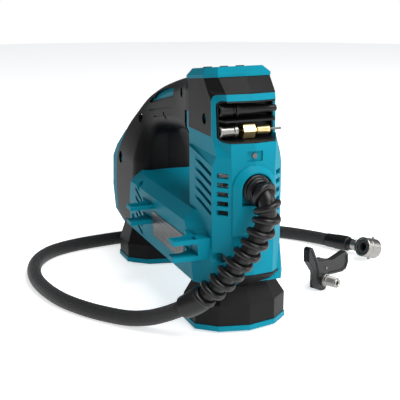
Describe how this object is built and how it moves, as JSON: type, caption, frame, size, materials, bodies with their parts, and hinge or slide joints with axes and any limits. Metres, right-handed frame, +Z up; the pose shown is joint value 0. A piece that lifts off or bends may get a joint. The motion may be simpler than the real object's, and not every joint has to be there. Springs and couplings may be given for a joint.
{
  "type": "cordless inflator",
  "caption": "Cordless inflator pump with a D handle, tower pump head, braided hose on a spiral guard, stored adapters and a valve clip.",
  "frame": {"origin": "on the ground under the middle of the front foot, on the middle plane", "axes": "+X towards the hose end, +Y to the left side, +Z up"},
  "size_m": [0.2964, 0.3168, 0.196],
  "materials": {
    "teal_shell": "fine moulded texture",
    "soft_grip": "matte elastomer",
    "foot_rubber": "matte",
    "black_plastic": "satin",
    "lens": "gloss",
    "board": "satin",
    "nickel": "satin nickel",
    "brass": "satin",
    "steel": "brushed",
    "magnet": "matte",
    "copper": "enamelled winding",
    "gear_plastic": "satin",
    "alloy": "cast",
    "silicone": "satin",
    "guard_rubber": "satin",
    "braid": "woven braid",
    "plate": "satin"
  },
  "bodies": {
    "housing": {"housing_right": "teal_shell", "housing_left": "teal_shell", "grip_right": "soft_grip", "grip_left": "soft_grip", "head_wrap_right": "soft_grip", "head_wrap_left": "soft_grip", "display_cap": "teal_shell", "display_lens": "lens", "display_board": "board", "front_boot": "soft_grip", "rear_boot": "soft_grip", "foot_pads": "foot_rubber", "accessory_tray": "black_plastic", "trigger_pin": "steel", "trigger_spring": "steel", "switch_body": "black_plastic", "battery_terminal": "black_plastic", "controller_board": "board", "motor_can": "steel", "motor_magnets": "magnet", "gear_axle": "steel", "pump_frame": "alloy", "pump_cylinder": "alloy", "cylinder_head": "alloy", "air_tube": "silicone", "hose_fitting": "brass", "hose_elbow": "guard_rubber", "spiral_guard": "guard_rubber", "hose": "braid", "hose_sleeve": "guard_rubber", "chuck_body": "nickel", "chuck_seal": "foot_rubber", "housing_screws": "steel", "front_screw": "steel", "rating_plate": "plate"},
    "trigger": {"trigger": "black_plastic"},
    "lock_button": {"lock_button": "black_plastic"},
    "power_button": {"power_button": "black_plastic"},
    "plus_button": {"plus_button": "black_plastic"},
    "minus_button": {"minus_button": "black_plastic"},
    "rotor": {"motor_armature": "copper", "motor_shaft": "steel", "cooling_fan": "black_plastic", "drive_pinion": "steel"},
    "crank": {"crank_gear": "gear_plastic", "crank_pin": "steel"},
    "piston": {"piston_rod": "alloy", "piston": "alloy", "piston_seal": "foot_rubber"},
    "tapered_nozzle": {"tapered_nozzle": "black_plastic"},
    "valve_adapter": {"valve_adapter": "nickel"},
    "needle_adapter": {"needle_adapter": "brass", "ball_needle": "steel"},
    "clip": {"clip_body": "black_plastic", "clip_pin": "steel", "clip_spring": "steel", "clip_nozzle": "nickel"},
    "clip_lever": {"clip_lever": "black_plastic"}
  },
  "joints": [
    {"name": "trigger_pull", "type": "hinge", "parent": "housing", "child": "trigger", "pos_m": [-0.036, 0, 0.149], "axis": [0, 1, 0], "range_deg": [0, 6], "stiffness_Nm_per_rad": 1.2, "springref_deg": -1.15, "deforming": ["trigger_spring"]},
    {"name": "lock_slide", "type": "slide", "parent": "housing", "child": "lock_button", "axis": [0, -1, 0], "range_m": [0, 0.0025], "stiffness_N_per_m": 500},
    {"name": "power_press", "type": "slide", "parent": "housing", "child": "power_button", "axis": [-0.1271, 0, 0.9919], "range_m": [-0.001, 0], "stiffness_N_per_m": 800},
    {"name": "plus_press", "type": "slide", "parent": "housing", "child": "plus_button", "axis": [-0.1271, 0, 0.9919], "range_m": [-0.001, 0], "stiffness_N_per_m": 800},
    {"name": "minus_press", "type": "slide", "parent": "housing", "child": "minus_button", "axis": [-0.1271, 0, 0.9919], "range_m": [-0.001, 0], "stiffness_N_per_m": 800},
    {"name": "crank_spin", "type": "hinge", "parent": "housing", "child": "crank", "pos_m": [-0.014, 0, 0.088], "axis": [1, 0, 0], "continuous": true},
    {"name": "motor_spin", "type": "hinge", "parent": "housing", "child": "rotor", "pos_m": [-0.06, 0, 0.062], "axis": [1, 0, 0], "continuous": true},
    {"name": "piston_stroke", "type": "slide", "parent": "housing", "child": "piston", "axis": [0, 0, 1], "range_m": [-0.014, 0]},
    {"name": "nozzle_lift_out", "type": "slide", "parent": "housing", "child": "tapered_nozzle", "axis": [1, 0, 0], "range_m": [0, 0.06]},
    {"name": "valve_adapter_lift_out", "type": "slide", "parent": "housing", "child": "valve_adapter", "axis": [1, 0, 0], "range_m": [0, 0.06]},
    {"name": "needle_lift_out", "type": "slide", "parent": "housing", "child": "needle_adapter", "axis": [1, 0, 0], "range_m": [0, 0.06]},
    {"name": "clip_lift", "type": "slide", "parent": "housing", "child": "clip", "axis": [0, 0, 1], "range_m": [0, 0.08]},
    {"name": "clip_squeeze", "type": "hinge", "parent": "clip", "child": "clip_lever", "pos_m": [-0.0394, 0.09375, 0.019], "axis": [0.8988, 0.4384, 0], "range_deg": [0, 20], "stiffness_Nm_per_rad": 0.3, "springref_deg": -2.86}
  ],
  "couplings": [
    {"joint": "motor_spin", "follows": "crank_spin", "ratio": -4.2}
  ]
}
